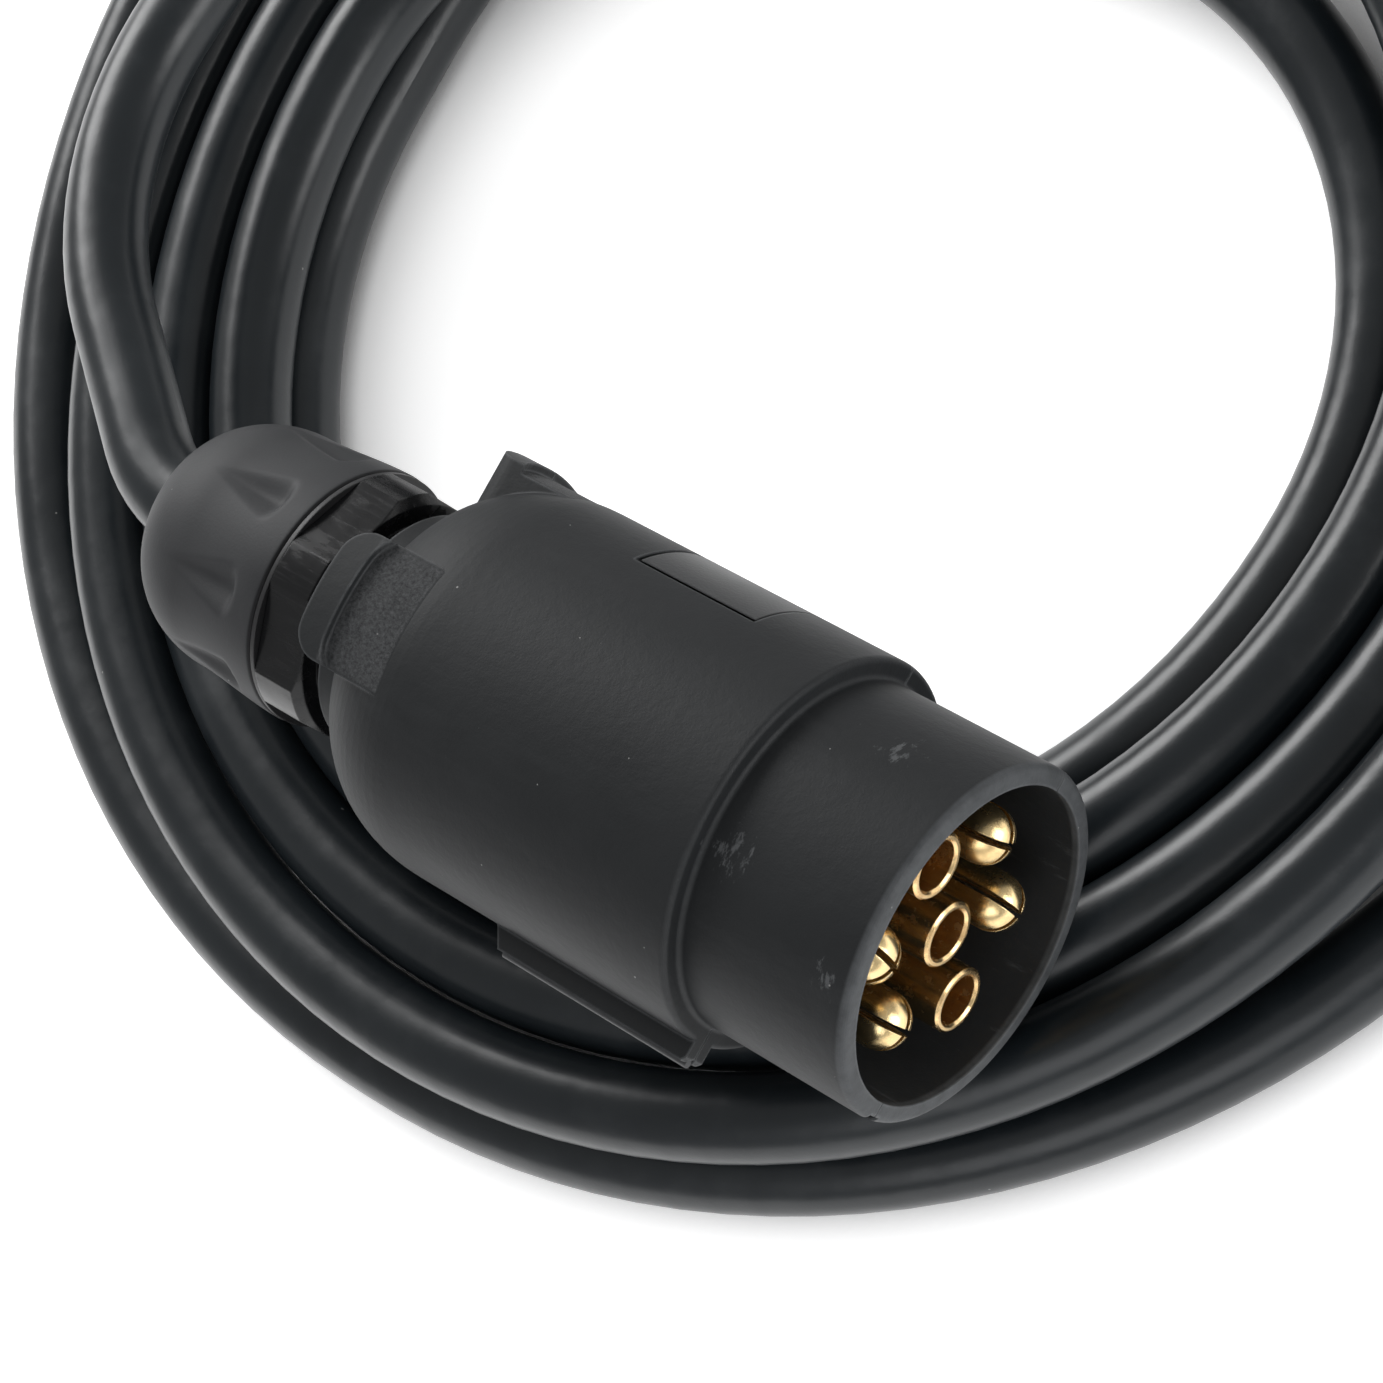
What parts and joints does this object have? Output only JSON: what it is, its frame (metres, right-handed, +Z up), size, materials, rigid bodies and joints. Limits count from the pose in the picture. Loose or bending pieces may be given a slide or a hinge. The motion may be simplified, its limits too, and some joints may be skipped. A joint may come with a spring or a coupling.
{
  "type": "trailer wiring connector",
  "caption": "Round trailer plug with a hinged clamshell body, split pin and tube contacts, a clamping cable gland and a flat coil of sheathed cable.",
  "frame": {"origin": "centre of the shroud's mouth, on the plug's axis, in the plane of the front rim", "axes": "+X out of the mouth along the plug's axis, towards the socket; +Z up, out of the hinged cover half, square to the seam; +Y towards the latch side"},
  "size_m": [0.2215, 0.2249, 0.0635],
  "materials": {
    "shell_plastic": "fine grain, matte",
    "hinge_plastic": "flexed, slightly pale",
    "carrier_plastic": "matte",
    "pin_brass": "turned, satin",
    "tube_brass": "turned, satin, slightly tarnished",
    "screw_steel": "zinc plated",
    "gland_plastic": "glossy black",
    "washer_plastic": "smooth",
    "nut_plastic": "matte, lightly grained",
    "claw_plastic": "moulded",
    "seal_rubber": "soft, matte",
    "sheath_pvc": "satin flexible vinyl",
    "core_yellow": "satin vinyl",
    "core_blue": "satin vinyl",
    "core_white": "satin vinyl",
    "core_green": "satin vinyl",
    "core_brown": "satin vinyl",
    "core_red": "satin vinyl",
    "core_black": "satin vinyl",
    "copper": "bare copper strands"
  },
  "bodies": {
    "base": {"shell_base": "shell_plastic", "living_hinge": "hinge_plastic", "contact_carrier": "carrier_plastic", "carrier_plate": "carrier_plastic", "pin_contact_a": "pin_brass", "pin_contact_b": "pin_brass", "pin_contact_c": "pin_brass", "pin_contact_d": "pin_brass", "tube_contact_a": "tube_brass", "tube_contact_b": "tube_brass", "tube_contact_c": "tube_brass", "terminal_screws": "screw_steel", "gland_body": "gland_plastic", "clamp_ring": "claw_plastic", "cable_seal": "seal_rubber", "cable_sheath": "sheath_pvc", "core_yellow": "core_yellow", "core_blue": "core_blue", "core_white": "core_white", "core_green": "core_green", "core_brown": "core_brown", "core_red": "core_red", "core_black": "core_black", "core_strands": "copper"},
    "cover": {"shell_cover": "shell_plastic"},
    "latch": {"latch_tongue": "shell_plastic"},
    "washer": {"slip_washer": "washer_plastic"},
    "nut": {"gland_nut": "nut_plastic"}
  },
  "joints": [
    {"name": "cover_hinge", "type": "hinge", "parent": "base", "child": "cover", "pos_m": [-0.033, -0.023, 0], "axis": [1, 0, 0], "range_deg": [0, 165]},
    {"name": "latch_flex", "type": "hinge", "parent": "base", "child": "latch", "pos_m": [-0.0383, 0.0185, -0.005], "axis": [-1, 0, 0], "range_deg": [0, 8], "stiffness_Nm_per_rad": 0.05},
    {"name": "washer_slide", "type": "slide", "parent": "base", "child": "washer", "axis": [-1, 0, 0], "range_m": [0, 0.00402]},
    {"name": "nut_turn", "type": "hinge", "parent": "washer", "child": "nut", "pos_m": [-0.0936, 0, 0], "axis": [-1, 0, 0], "range_deg": [0, 960]}
  ],
  "couplings": [
    {"joint": "washer_slide", "follows": "nut_turn", "m_per_rad": 0.00023873}
  ]
}
